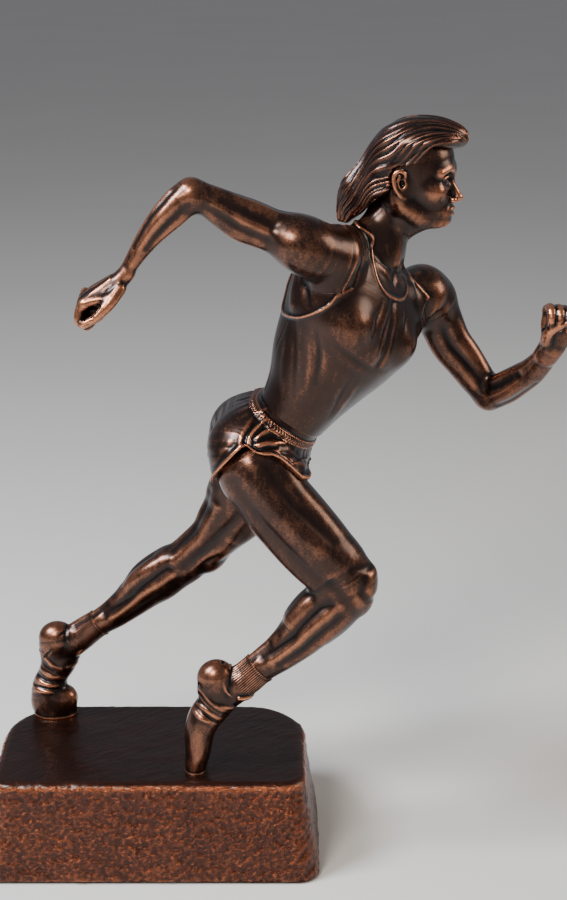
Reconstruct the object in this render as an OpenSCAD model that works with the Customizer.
// Bronze-finish statuette of a sprinter on a textured plinth, a free-standing award.
// The figure is cast in sections that meet on flat joints at the edges of the clothes.
// Each joint is pinned with a steel dowel, and threaded studs hold the shoes to the plinth.
// +X is the running direction, +Z is up, and the origin is the middle of the felt underside.

/* [Plinth] */
// Length of the plinth at its foot
base_w = 190; // [182:1:205]
// Depth of the plinth at its foot
base_d = 118; // [112:1:130]
// Height of the plinth's top above the shelf
base_h = 57.5; // [50:0.5:70]
// How far each side leans in between foot and top
base_draft = 8.5; // [4:0.5:10]
// Corner radius at the front, seen from above
front_corner_r = 12; // [8:1:16]
// Corner radius at the back, seen from above
back_corner_r = 36; // [24:1:40]
// Rounding of the top edge
top_edge_r = 4; // [2:0.5:6]
// Wall thickness of the hollow plinth
base_wall = 5; // [4:0.5:7]
// Thickness of the plinth's top plate
deck_t = 7; // [6:0.5:9]

/* [Underside] */
// Thickness of the felt
felt_t = 1.5; // [1:0.1:2]
// Thickness of the closing board
board_t = 3; // [2.5:0.1:4]
// Gap between the edge of the felt and the edge of the plinth
felt_inset = 4; // [3:0.5:8]
// Width of the rebate that the board sits in
rebate = 2.5; // [2:0.1:3]

/* [Fixings] */
// Diameter of the studs under the shoes
stud_d = 4; // [3.5:0.1:4.5]
// How far each stud reaches into its shoe
stud_grip = 14; // [10:1:16]
// Diameter of the dowels in the body, hips, shoulders and neck
dowel_d = 4; // [3:0.5:5]
// Length of each dowel
dowel_len = 18; // [14:1:22]
// Diameter of the pins in the ankles
ankle_pin_d = 2.5; // [2:0.1:3]

/* [Figure] */
// Size of the figure, where 1 stands 357 above the plinth
figure_scale = 1; // [0.95:0.01:1.03]

/* [Hidden] */
$fn = 48;

bronze = [0.36, 0.23, 0.15];
copper = [0.48, 0.27, 0.16];
steel = [0.72, 0.73, 0.75];
zinc = [0.80, 0.79, 0.74];
board_brown = [0.50, 0.38, 0.26];
felt_green = [0.16, 0.18, 0.15];

washer_t = 0.8;
nut_t = 3.2;
nut_flats = 7;
stud_boss_r = 8;
stud_boss_h = 4.5;
stud_tail = 2.5;
screw_r = 1.5;
screw_head_r = 3;
screw_head_t = 1.8;
screw_len = 14;
screw_slot = 0.8;
screw_boss_r = 6;
relief = 0.5;
board_gap = 0.15;

board_z = felt_t;
deck_under_z = base_h - deck_t;
boss_under_z = deck_under_z - stud_boss_h;
screw_x = 38;
screw_y = base_d / 2 - 16;
SCREWS = [for (x = [-1, 1]) for (y = [-1, 1]) [x * screw_x, y * screw_y]];

// Figure stations, with z counted from the top of the plinth.
// Limbs: x, y, z, half-depth in the running plane, half-width across it.
RIGHT_THIGH = [
    [110, -30, 107, 14.5, 13], [107, -30, 113, 16.8, 14.5], [103, -29, 119, 18.3, 16],
    [96, -28.5, 126.5, 19.3, 17], [90, -28, 133.5, 19.9, 18], [84, -27, 140.5, 20.2, 18.5],
    [78, -26, 147.5, 20.3, 18.5], [71.5, -25, 155, 20.5, 18.5], [66, -24, 163, 21.2, 18.5],
    [60.5, -22.5, 172, 22.5, 19]
];
RIGHT_SHANK = [
    [54.5, -30, 55, 9.7, 8], [60, -30, 60, 9.6, 8], [66, -30, 64.7, 10, 8.6],
    [73, -30, 70, 11, 9.6], [83, -30, 79, 12.9, 11.4], [88.5, -30, 85.5, 15, 12.4],
    [96, -30, 93, 16.3, 13], [103, -30, 99.5, 15.8, 13], [110, -30, 107, 14.5, 13]
];
LEFT_LEG = [
    [-40, 37, 54.5, 8.9, 7.6], [-32, 36, 60.5, 8.3, 7.8], [-24, 35.5, 66, 9.2, 8.4],
    [-12.5, 34.5, 75.5, 10.8, 10], [-4, 33, 84, 13, 11.6], [3, 32, 89.5, 13.9, 12.4],
    [10, 31.5, 95, 13.7, 12.4], [17.5, 30.5, 100, 13.3, 12.2], [25, 29.8, 106.5, 13.6, 12.6],
    [33.5, 28.5, 115, 14.2, 13.6], [40, 27.5, 123.5, 16.7, 15], [46, 26.5, 131.5, 19, 16.6],
    [50, 25.5, 139, 20.8, 17.6], [54, 24, 148, 21.5, 18.2], [57, 23, 158, 22, 18.5],
    [59.5, 22.5, 170, 22.5, 19]
];
RIGHT_UPPER_ARM = [
    [102, -26, 288.7, 16.5, 16.5], [97, -31, 291, 16, 15.5], [89, -37, 294.5, 14.5, 13.5],
    [79.5, -38, 300.5, 12.5, 12], [69, -38.5, 304.5, 10.6, 10.8], [62, -39, 307.5, 10.6, 10.4],
    [54, -40, 311, 11, 9.8], [45, -41, 316, 10, 9], [36.5, -42, 320.5, 8.8, 8.4],
    [29, -42, 323.5, 8, 8]
];
RIGHT_FOREARM = [
    [28, -42, 324, 7.8, 7.8], [24, -42, 320.5, 8.6, 8], [20, -41.5, 316.5, 8.4, 8],
    [15.5, -41, 312, 7.9, 7.6], [9.5, -40, 305, 6.8, 6.8], [4.7, -39.5, 298.5, 5.8, 6],
    [0, -39, 291.5, 4.6, 5.2], [-4.4, -38.5, 284.5, 3.9, 4.6], [-8, -38, 279, 4.2, 4.8],
    [-14, -37, 272.5, 6.8, 6.2], [-21, -36, 267, 8, 7], [-26, -35.5, 262.5, 8, 7],
    [-29, -35.5, 259.5, 6, 5.4]
];
LEFT_UPPER_ARM = [
    [148, 24.5, 259.5, 16, 16.5], [152.5, 29, 255.5, 15.4, 15.5], [156, 32.5, 249.5, 14.5, 14],
    [161, 34, 241.5, 12.8, 12.5], [166.5, 34, 229.5, 11.5, 11], [174, 33, 219.5, 10.8, 10],
    [183, 31, 207.5, 10, 9.2], [189.5, 30, 199.5, 8.4, 8.4]
];
LEFT_FOREARM = [
    [189, 30, 199, 8.2, 8], [193.5, 26, 202.5, 8.8, 8.4], [198.5, 20.5, 207, 9, 8.2],
    [204, 12.5, 213.5, 8.4, 7.6], [208.5, 5, 219.5, 7.8, 6.8], [212, -2, 226, 7, 5.8],
    [214.5, -8, 232, 6.6, 5], [217.5, -12, 239, 7.6, 6], [220.5, -14.5, 247, 9, 7],
    [221.5, -15.5, 254, 9, 6.8], [222, -16, 260, 6.5, 5]
];
// Body: x, y, z, turn towards the front of the plinth, half-depth in front, behind, half-width.
TORSO = [
    [78, 0, 198.5, 12, 20.5, 17.5, 27], [85.5, 0, 209.5, 18, 23, 21, 29.5], [94, 0, 222.5, 28, 27, 28, 34],
    [102, 0, 235, 36, 31, 32, 39], [108.5, -1, 247, 41, 33, 33, 43.5], [114.5, -1, 258, 44, 29, 31, 47],
    [119.5, -1.5, 267, 47, 24, 27, 50], [121, -2, 275, 47, 20, 23, 48], [122, -2, 280, 47, 17, 19, 34],
    [122, -2, 284, 45, 14.5, 15, 15]
];
PELVIS = [
    [62, 0, 171, 0, 16, 22, 16], [61.5, 0, 176, 0, 25, 30, 31], [64, 0, 183, 2, 27, 28, 36.5],
    [70.5, 0, 191, 6, 25.5, 22.5, 33.5], [78, 0, 198.5, 12, 20.5, 17.5, 27]
];
RIGHT_STUB = [[60.5, -22.5, 172, 22.5, 19], [60.5, -20, 180, 22, 19], [64, -15, 190, 16, 14]];
LEFT_STUB = [[59.5, 22.5, 170, 22.5, 19], [61.5, 20, 180, 22, 19], [66, 15, 190, 16, 14]];
NECK = [
    [122, -2, 284, 45, 14.5, 15, 15], [125.5, -2, 291, 36, 13.4, 13.6, 13.2],
    [129, -2, 299, 26, 13, 13.4, 12.6], [133, -2, 309, 14, 14, 14, 13]
];
HEAD = [
    [148, -2, 300, 12, 7, 7, 6.5], [147, -2, 304, 12, 12, 13, 11], [144, -2, 311, 12, 18, 19, 15.5],
    [143, -2, 321, 12, 21, 24, 18], [142, -2, 331, 12, 22, 26, 19], [141.5, -2, 341, 12, 22, 25, 18.5],
    [141.5, -2, 348, 12, 19, 19, 15.5], [142, -2, 353, 12, 12, 12, 10], [142, -2, 355, 12, 5, 5, 4]
];
HAIR = [
    [109.5, -2, 300, 12, 6, 6.5, 9], [111, -2, 306, 12, 11, 8.5, 13], [114, -2, 315, 12, 16, 10, 17],
    [118.5, -2, 326, 12, 18, 11, 18.5], [125, -2, 337, 12, 18, 11, 17.5], [133, -2, 346.5, 12, 14, 10, 14],
    [140, -2, 351, 12, 10, 8, 9]
];
RIGHT_SHOE = [
    [25.5, -31, 0, 5.5, 7], [26, -31, 4, 6.4, 8.5], [27, -31, 11, 7.2, 9.5], [27.5, -31, 18, 8, 9.8],
    [28.5, -31, 25, 8.7, 9.8], [31.5, -31, 32, 9.4, 9.2], [36, -30.5, 38, 10, 8.5],
    [38.5, -30.5, 44, 11.5, 8], [38.5, -30, 51, 11.5, 7.8], [37, -30, 58, 9.5, 7.2], [36, -30, 63, 5, 4.5]
];
RIGHT_SOCK = [[41, -30, 45, 9, 7], [48, -30, 49.6, 10.4, 8.2], [54.5, -30, 55, 9.7, 8]];
LEFT_SHOE = [
    [-61, 39, 0, 12.4, 9.5], [-61.3, 39, 4.5, 13, 10], [-63, 39, 10.5, 12.8, 10], [-64, 39, 18, 10.3, 9.5],
    [-61.5, 39, 25.5, 9, 8.8], [-58.5, 38.5, 33, 10.5, 8.2], [-57, 38.5, 41, 12.5, 7.8],
    [-57.5, 38, 49, 11.5, 7.6], [-59.5, 38, 55, 7.5, 6.2], [-60.5, 38, 58.5, 4, 3.5]
];
LEFT_SOCK = [[-55, 38, 43, 9, 7], [-47.5, 37.5, 48.5, 9.8, 8], [-40, 37, 54.5, 8.9, 7.6]];

// Direction of the line through both shoulders, towards the figure's left
across = unit([0.61, 0.68, -0.41]);
spine = unit([0.58, 0, 0.81]);
right_thigh_axis = unit([-0.5, 0.1, 0.86]);
left_thigh_axis = unit([0.4, -0.08, 0.91]);
right_shank_axis = unit([0.74, 0, 0.67]);
left_shank_axis = unit([0.8, -0.08, 0.6]);
upright = [0, 0, 1];

// Flat joints between the castings: a point on the joint and its normal
NECK_JOINT = [[122, -2, 284], spine];
WAIST_JOINT = [[78, 0, 198.5], spine];
RIGHT_SHOULDER_JOINT = [[102, -26, 288.7], -across];
LEFT_SHOULDER_JOINT = [[148, 24.5, 259.5], across];
RIGHT_HIP_JOINT = [[60.5, -22.5, 172], right_thigh_axis];
LEFT_HIP_JOINT = [[59.5, 22.5, 170], left_thigh_axis];
RIGHT_ANKLE_JOINT = [[54.5, -30, 55], right_shank_axis];
LEFT_ANKLE_JOINT = [[-40, 37, 54.5], left_shank_axis];
RIGHT_TOE = [25.5, -31];
LEFT_TOE = [-61, 39];
waist_dowel_gap = 24;
elbow_r = 8.4;
knee_r = 14.2;
shoulder_pocket_r = 20;
shoulder_pocket_l = 34;
thigh_clear_r = 25;
thigh_clear_l = 60;

function unit(v) = v / norm(v);
function place(q) = [q[0], q[1], q[2]];
function limb(stations) = [for (q = stations) [q[0], q[1], q[2], 0, q[3], q[3], q[4]]];

// A smooth curve through the stations
function through(a, b, c, d, t) =
    0.5 * (2 * b + (c - a) * t + (2 * a - 5 * b + 4 * c - d) * t * t + (3 * b - a - 3 * c + d) * t * t * t);
function smoothed(s, steps) = concat(
    [
        for (i = [0 : len(s) - 2]) for (k = [0 : steps - 1])
            through(s[max(i - 1, 0)], s[i], s[i + 1], s[min(i + 2, len(s) - 1)], k / steps)
    ],
    [s[len(s) - 1]]
);
function heading(chain, i, first, last, every) =
    !is_undef(every) ? every
    : i == 0 && !is_undef(first) ? first
    : i == len(chain) - 1 && !is_undef(last) ? last
    : unit(place(chain[min(i + 1, len(chain) - 1)]) - place(chain[max(i - 1, 0)]));

// One oval section of a station, square to the heading
function section(q, along, sides) =
    let (
        side0 = unit([0, 1, 0] - ([0, 1, 0] * along) * along),
        front0 = cross(side0, along),
        front = cos(q[3]) * front0 - sin(q[3]) * side0,
        side = cos(q[3]) * side0 + sin(q[3]) * front0
    )
    [
        for (k = [0 : sides - 1])
            let (c = cos(360 * k / sides), s = sin(360 * k / sides))
            place(q) + front * c * (c > 0 ? q[4] : q[5]) + side * s * q[6]
    ];

// Solid skin over the stations, with flat ends. The sections are square to the path, apart from
// the first and last where a heading is given, or all parallel where every is given.
module loft(stations, sides = 18, steps = 2, first = undef, last = undef, every = undef) {
    chain = smoothed(stations, steps);
    rings = len(chain);
    points = [for (i = [0 : rings - 1]) each section(chain[i], heading(chain, i, first, last, every), sides)];
    walls = [
        for (i = [0 : rings - 2]) for (k = [0 : sides - 1])
            let (a = i * sides + k, b = i * sides + (k + 1) % sides)
            each [[a, a + sides, b + sides], [a, b + sides, b]]
    ];
    start_cap = [for (k = [0 : sides - 1]) k];
    end_cap = [for (k = [sides - 1 : -1 : 0]) (rings - 1) * sides + k];
    polyhedron(points, concat(walls, [start_cap], [end_cap]), convexity = 6);
}

// Puts a figure section on top of the plinth
module on_plinth() {
    translate([0, 0, base_h]) scale(figure_scale) children();
}

// Joins overlapping lofts into one skin: a resize by zeros keeps every size
module welded() {
    resize([0, 0, 0]) union() children();
}

// Turns +Z to a joint's normal, at the joint
module at_joint(joint) {
    n = joint[1];
    translate(joint[0]) rotate([0, acos(n.z), atan2(n.y, n.x)]) children();
}

module dowel_bore(joint, d = dowel_d) {
    at_joint(joint) cylinder(d = d, h = dowel_len + 2 * relief, center = true);
}

module dowel(joint, d = dowel_d) {
    on_plinth() at_joint(joint) cylinder(d = d, h = dowel_len, center = true);
}

module waist_pair() {
    for (side = [-1, 1]) translate([0, side * waist_dowel_gap / 2, 0]) children();
}

// ---- plinth ----

module plinth_block(grow, low_z, high_z, edge) {
    lean_low = base_draft * low_z / base_h;
    lean_high = base_draft * high_z / base_h;
    hull() for (x = [-1, 1]) for (y = [-1, 1]) {
        r = max(2, (y < 0 ? front_corner_r : back_corner_r) + grow);
        translate([x * (base_w / 2 + grow - lean_low - r), y * (base_d / 2 + grow - lean_low - r), low_z])
            cylinder(r = r, h = 0.01, $fn = 32);
        for (a = [0 : 30 : 90]) {
            shrink = edge * (1 - cos(a));
            translate([
                x * (base_w / 2 + grow - lean_high - r),
                y * (base_d / 2 + grow - lean_high - r),
                high_z - edge * (1 - sin(a)) - 0.01
            ]) cylinder(r = r - shrink, h = 0.01, $fn = 32);
        }
    }
}

module stud_spots() {
    for (toe = [RIGHT_TOE, LEFT_TOE]) translate([toe.x * figure_scale, toe.y * figure_scale, 0]) children();
}

module screw_spots() {
    for (p = SCREWS) translate([p.x, p.y, 0]) children();
}

module base_casting() {
    color(copper) difference() {
        plinth_block(0, felt_t, base_h, top_edge_r);
        difference() {
            plinth_block(-base_wall, felt_t - 1, deck_under_z, 2);
            stud_spots() translate([0, 0, boss_under_z]) cylinder(r = stud_boss_r, h = deck_t + stud_boss_h);
            screw_spots() translate([0, 0, board_z + board_t]) cylinder(r = screw_boss_r, h = base_h);
        }
        plinth_block(-rebate, felt_t - 1, board_z + board_t, 0);
        stud_spots() cylinder(d = stud_d + 0.5, h = base_h + 5);
        screw_spots() cylinder(r = screw_r, h = board_z + screw_len + relief);
    }
}

module bottom_board() {
    color(board_brown) difference() {
        plinth_block(-rebate - board_gap, board_z, board_z + board_t, 0);
        screw_spots() screw_shape();
    }
}

module felt_pad() {
    color(felt_green) plinth_block(-felt_inset, 0, felt_t, 0);
}

module screw_shape() {
    translate([0, 0, board_z]) rotate_extrude() polygon([
        [0, 0], [screw_head_r, 0], [screw_r, screw_head_t], [screw_r, screw_len], [0, screw_len]
    ]);
}

module board_screws() {
    color(zinc) screw_spots() difference() {
        screw_shape();
        for (turn = [0, 90]) translate([0, 0, board_z]) rotate(turn)
            cube([2 * screw_head_r - 1.6, screw_slot, 2 * screw_slot], center = true);
    }
}

module stud_at(toe) {
    low_z = boss_under_z - washer_t - nut_t - stud_tail;
    color(steel) translate([toe.x * figure_scale, toe.y * figure_scale, low_z])
        cylinder(d = stud_d, h = base_h + stud_grip - low_z);
}

module right_stud() {
    stud_at(RIGHT_TOE);
}

module left_stud() {
    stud_at(LEFT_TOE);
}

module stud_washers() {
    color(zinc) stud_spots() translate([0, 0, boss_under_z - washer_t]) difference() {
        cylinder(r = 4.5, h = washer_t);
        cylinder(d = stud_d + 0.3, h = 3 * washer_t, center = true);
    }
}

module stud_nuts() {
    color(zinc) stud_spots() translate([0, 0, boss_under_z - washer_t - nut_t]) difference() {
        cylinder(d = nut_flats / cos(30), h = nut_t, $fn = 6);
        cylinder(d = stud_d, h = 3 * nut_t, center = true);
    }
}

module stud_socket(toe) {
    translate([toe.x * figure_scale, toe.y * figure_scale, base_h - 5]) cylinder(d = stud_d, h = stud_grip + relief + 5);
}

// ---- figure ----

module pelvis_casting() {
    color(bronze) on_plinth() difference() {
        welded() difference() {
            union() {
                loft(PELVIS, sides = 24, last = spine);
                loft(limb(RIGHT_STUB), first = right_thigh_axis);
                loft(limb(LEFT_STUB), first = left_thigh_axis);
            }
            thigh_clearance(RIGHT_HIP_JOINT);
            thigh_clearance(LEFT_HIP_JOINT);
        }
        waist_bores();
        dowel_bore(RIGHT_HIP_JOINT);
        dowel_bore(LEFT_HIP_JOINT);
    }
}

module waist_bores() {
    at_joint(WAIST_JOINT) waist_pair() cylinder(d = dowel_d, h = dowel_len + 2 * relief, center = true);
}

module thigh_clearance(joint) {
    at_joint(joint) translate([0, 0, -thigh_clear_l]) cylinder(r = thigh_clear_r, h = thigh_clear_l);
}

module shoulder_pocket(joint) {
    at_joint(joint) cylinder(r = shoulder_pocket_r, h = shoulder_pocket_l);
}

module torso_casting() {
    color(bronze) on_plinth() difference() {
        loft(TORSO, sides = 28, every = spine);
        shoulder_pocket(RIGHT_SHOULDER_JOINT);
        shoulder_pocket(LEFT_SHOULDER_JOINT);
        waist_bores();
        dowel_bore(NECK_JOINT);
        dowel_bore(RIGHT_SHOULDER_JOINT);
        dowel_bore(LEFT_SHOULDER_JOINT);
    }
}

module head_casting() {
    color(bronze) on_plinth() difference() {
        welded() {
            loft(NECK, sides = 28, first = spine);
            loft(HEAD, sides = 24);
            loft(HAIR, sides = 20);
        }
        dowel_bore(NECK_JOINT);
    }
}

module right_arm_casting() {
    color(bronze) on_plinth() difference() {
        welded() {
            loft(limb(RIGHT_UPPER_ARM), first = -across);
            loft(limb(RIGHT_FOREARM));
            translate(place(RIGHT_FOREARM[0])) sphere(r = elbow_r, $fn = 20);
        }
        dowel_bore(RIGHT_SHOULDER_JOINT);
    }
}

module left_arm_casting() {
    color(bronze) on_plinth() difference() {
        welded() {
            loft(limb(LEFT_UPPER_ARM), first = across);
            loft(limb(LEFT_FOREARM));
            translate(place(LEFT_FOREARM[0])) sphere(r = elbow_r, $fn = 20);
        }
        dowel_bore(LEFT_SHOULDER_JOINT);
    }
}

module right_leg_casting() {
    color(bronze) on_plinth() difference() {
        welded() {
            loft(limb(RIGHT_THIGH), last = right_thigh_axis);
            loft(limb(RIGHT_SHANK), first = right_shank_axis);
            translate(place(RIGHT_THIGH[0])) sphere(r = knee_r, $fn = 20);
        }
        dowel_bore(RIGHT_HIP_JOINT);
        dowel_bore(RIGHT_ANKLE_JOINT, ankle_pin_d);
    }
}

module left_leg_casting() {
    color(bronze) on_plinth() difference() {
        loft(limb(LEFT_LEG), first = left_shank_axis, last = left_thigh_axis);
        dowel_bore(LEFT_HIP_JOINT);
        dowel_bore(LEFT_ANKLE_JOINT, ankle_pin_d);
    }
}

module shoe(sole, sock, sock_axis, joint, toe) {
    color(bronze) difference() {
        on_plinth() difference() {
            welded() {
                loft(limb(sole), sides = 16, first = upright);
                loft(limb(sock), last = sock_axis);
            }
            dowel_bore(joint, ankle_pin_d);
        }
        stud_socket(toe);
    }
}

module right_shoe_casting() {
    shoe(RIGHT_SHOE, RIGHT_SOCK, right_shank_axis, RIGHT_ANKLE_JOINT, RIGHT_TOE);
}

module left_shoe_casting() {
    shoe(LEFT_SHOE, LEFT_SOCK, left_shank_axis, LEFT_ANKLE_JOINT, LEFT_TOE);
}

// ---- dowels ----

module neck_dowel() {
    color(steel) dowel(NECK_JOINT);
}

module waist_dowels() {
    color(steel) on_plinth() at_joint(WAIST_JOINT) waist_pair() cylinder(d = dowel_d, h = dowel_len, center = true);
}

module right_shoulder_dowel() {
    color(steel) dowel(RIGHT_SHOULDER_JOINT);
}

module left_shoulder_dowel() {
    color(steel) dowel(LEFT_SHOULDER_JOINT);
}

module right_hip_dowel() {
    color(steel) dowel(RIGHT_HIP_JOINT);
}

module left_hip_dowel() {
    color(steel) dowel(LEFT_HIP_JOINT);
}

module right_ankle_pin() {
    color(steel) dowel(RIGHT_ANKLE_JOINT, ankle_pin_d);
}

module left_ankle_pin() {
    color(steel) dowel(LEFT_ANKLE_JOINT, ankle_pin_d);
}

base_casting();
bottom_board();
felt_pad();
board_screws();
right_stud();
left_stud();
stud_washers();
stud_nuts();
pelvis_casting();
torso_casting();
head_casting();
right_arm_casting();
left_arm_casting();
right_leg_casting();
left_leg_casting();
right_shoe_casting();
left_shoe_casting();
neck_dowel();
waist_dowels();
right_shoulder_dowel();
left_shoulder_dowel();
right_hip_dowel();
left_hip_dowel();
right_ankle_pin();
left_ankle_pin();
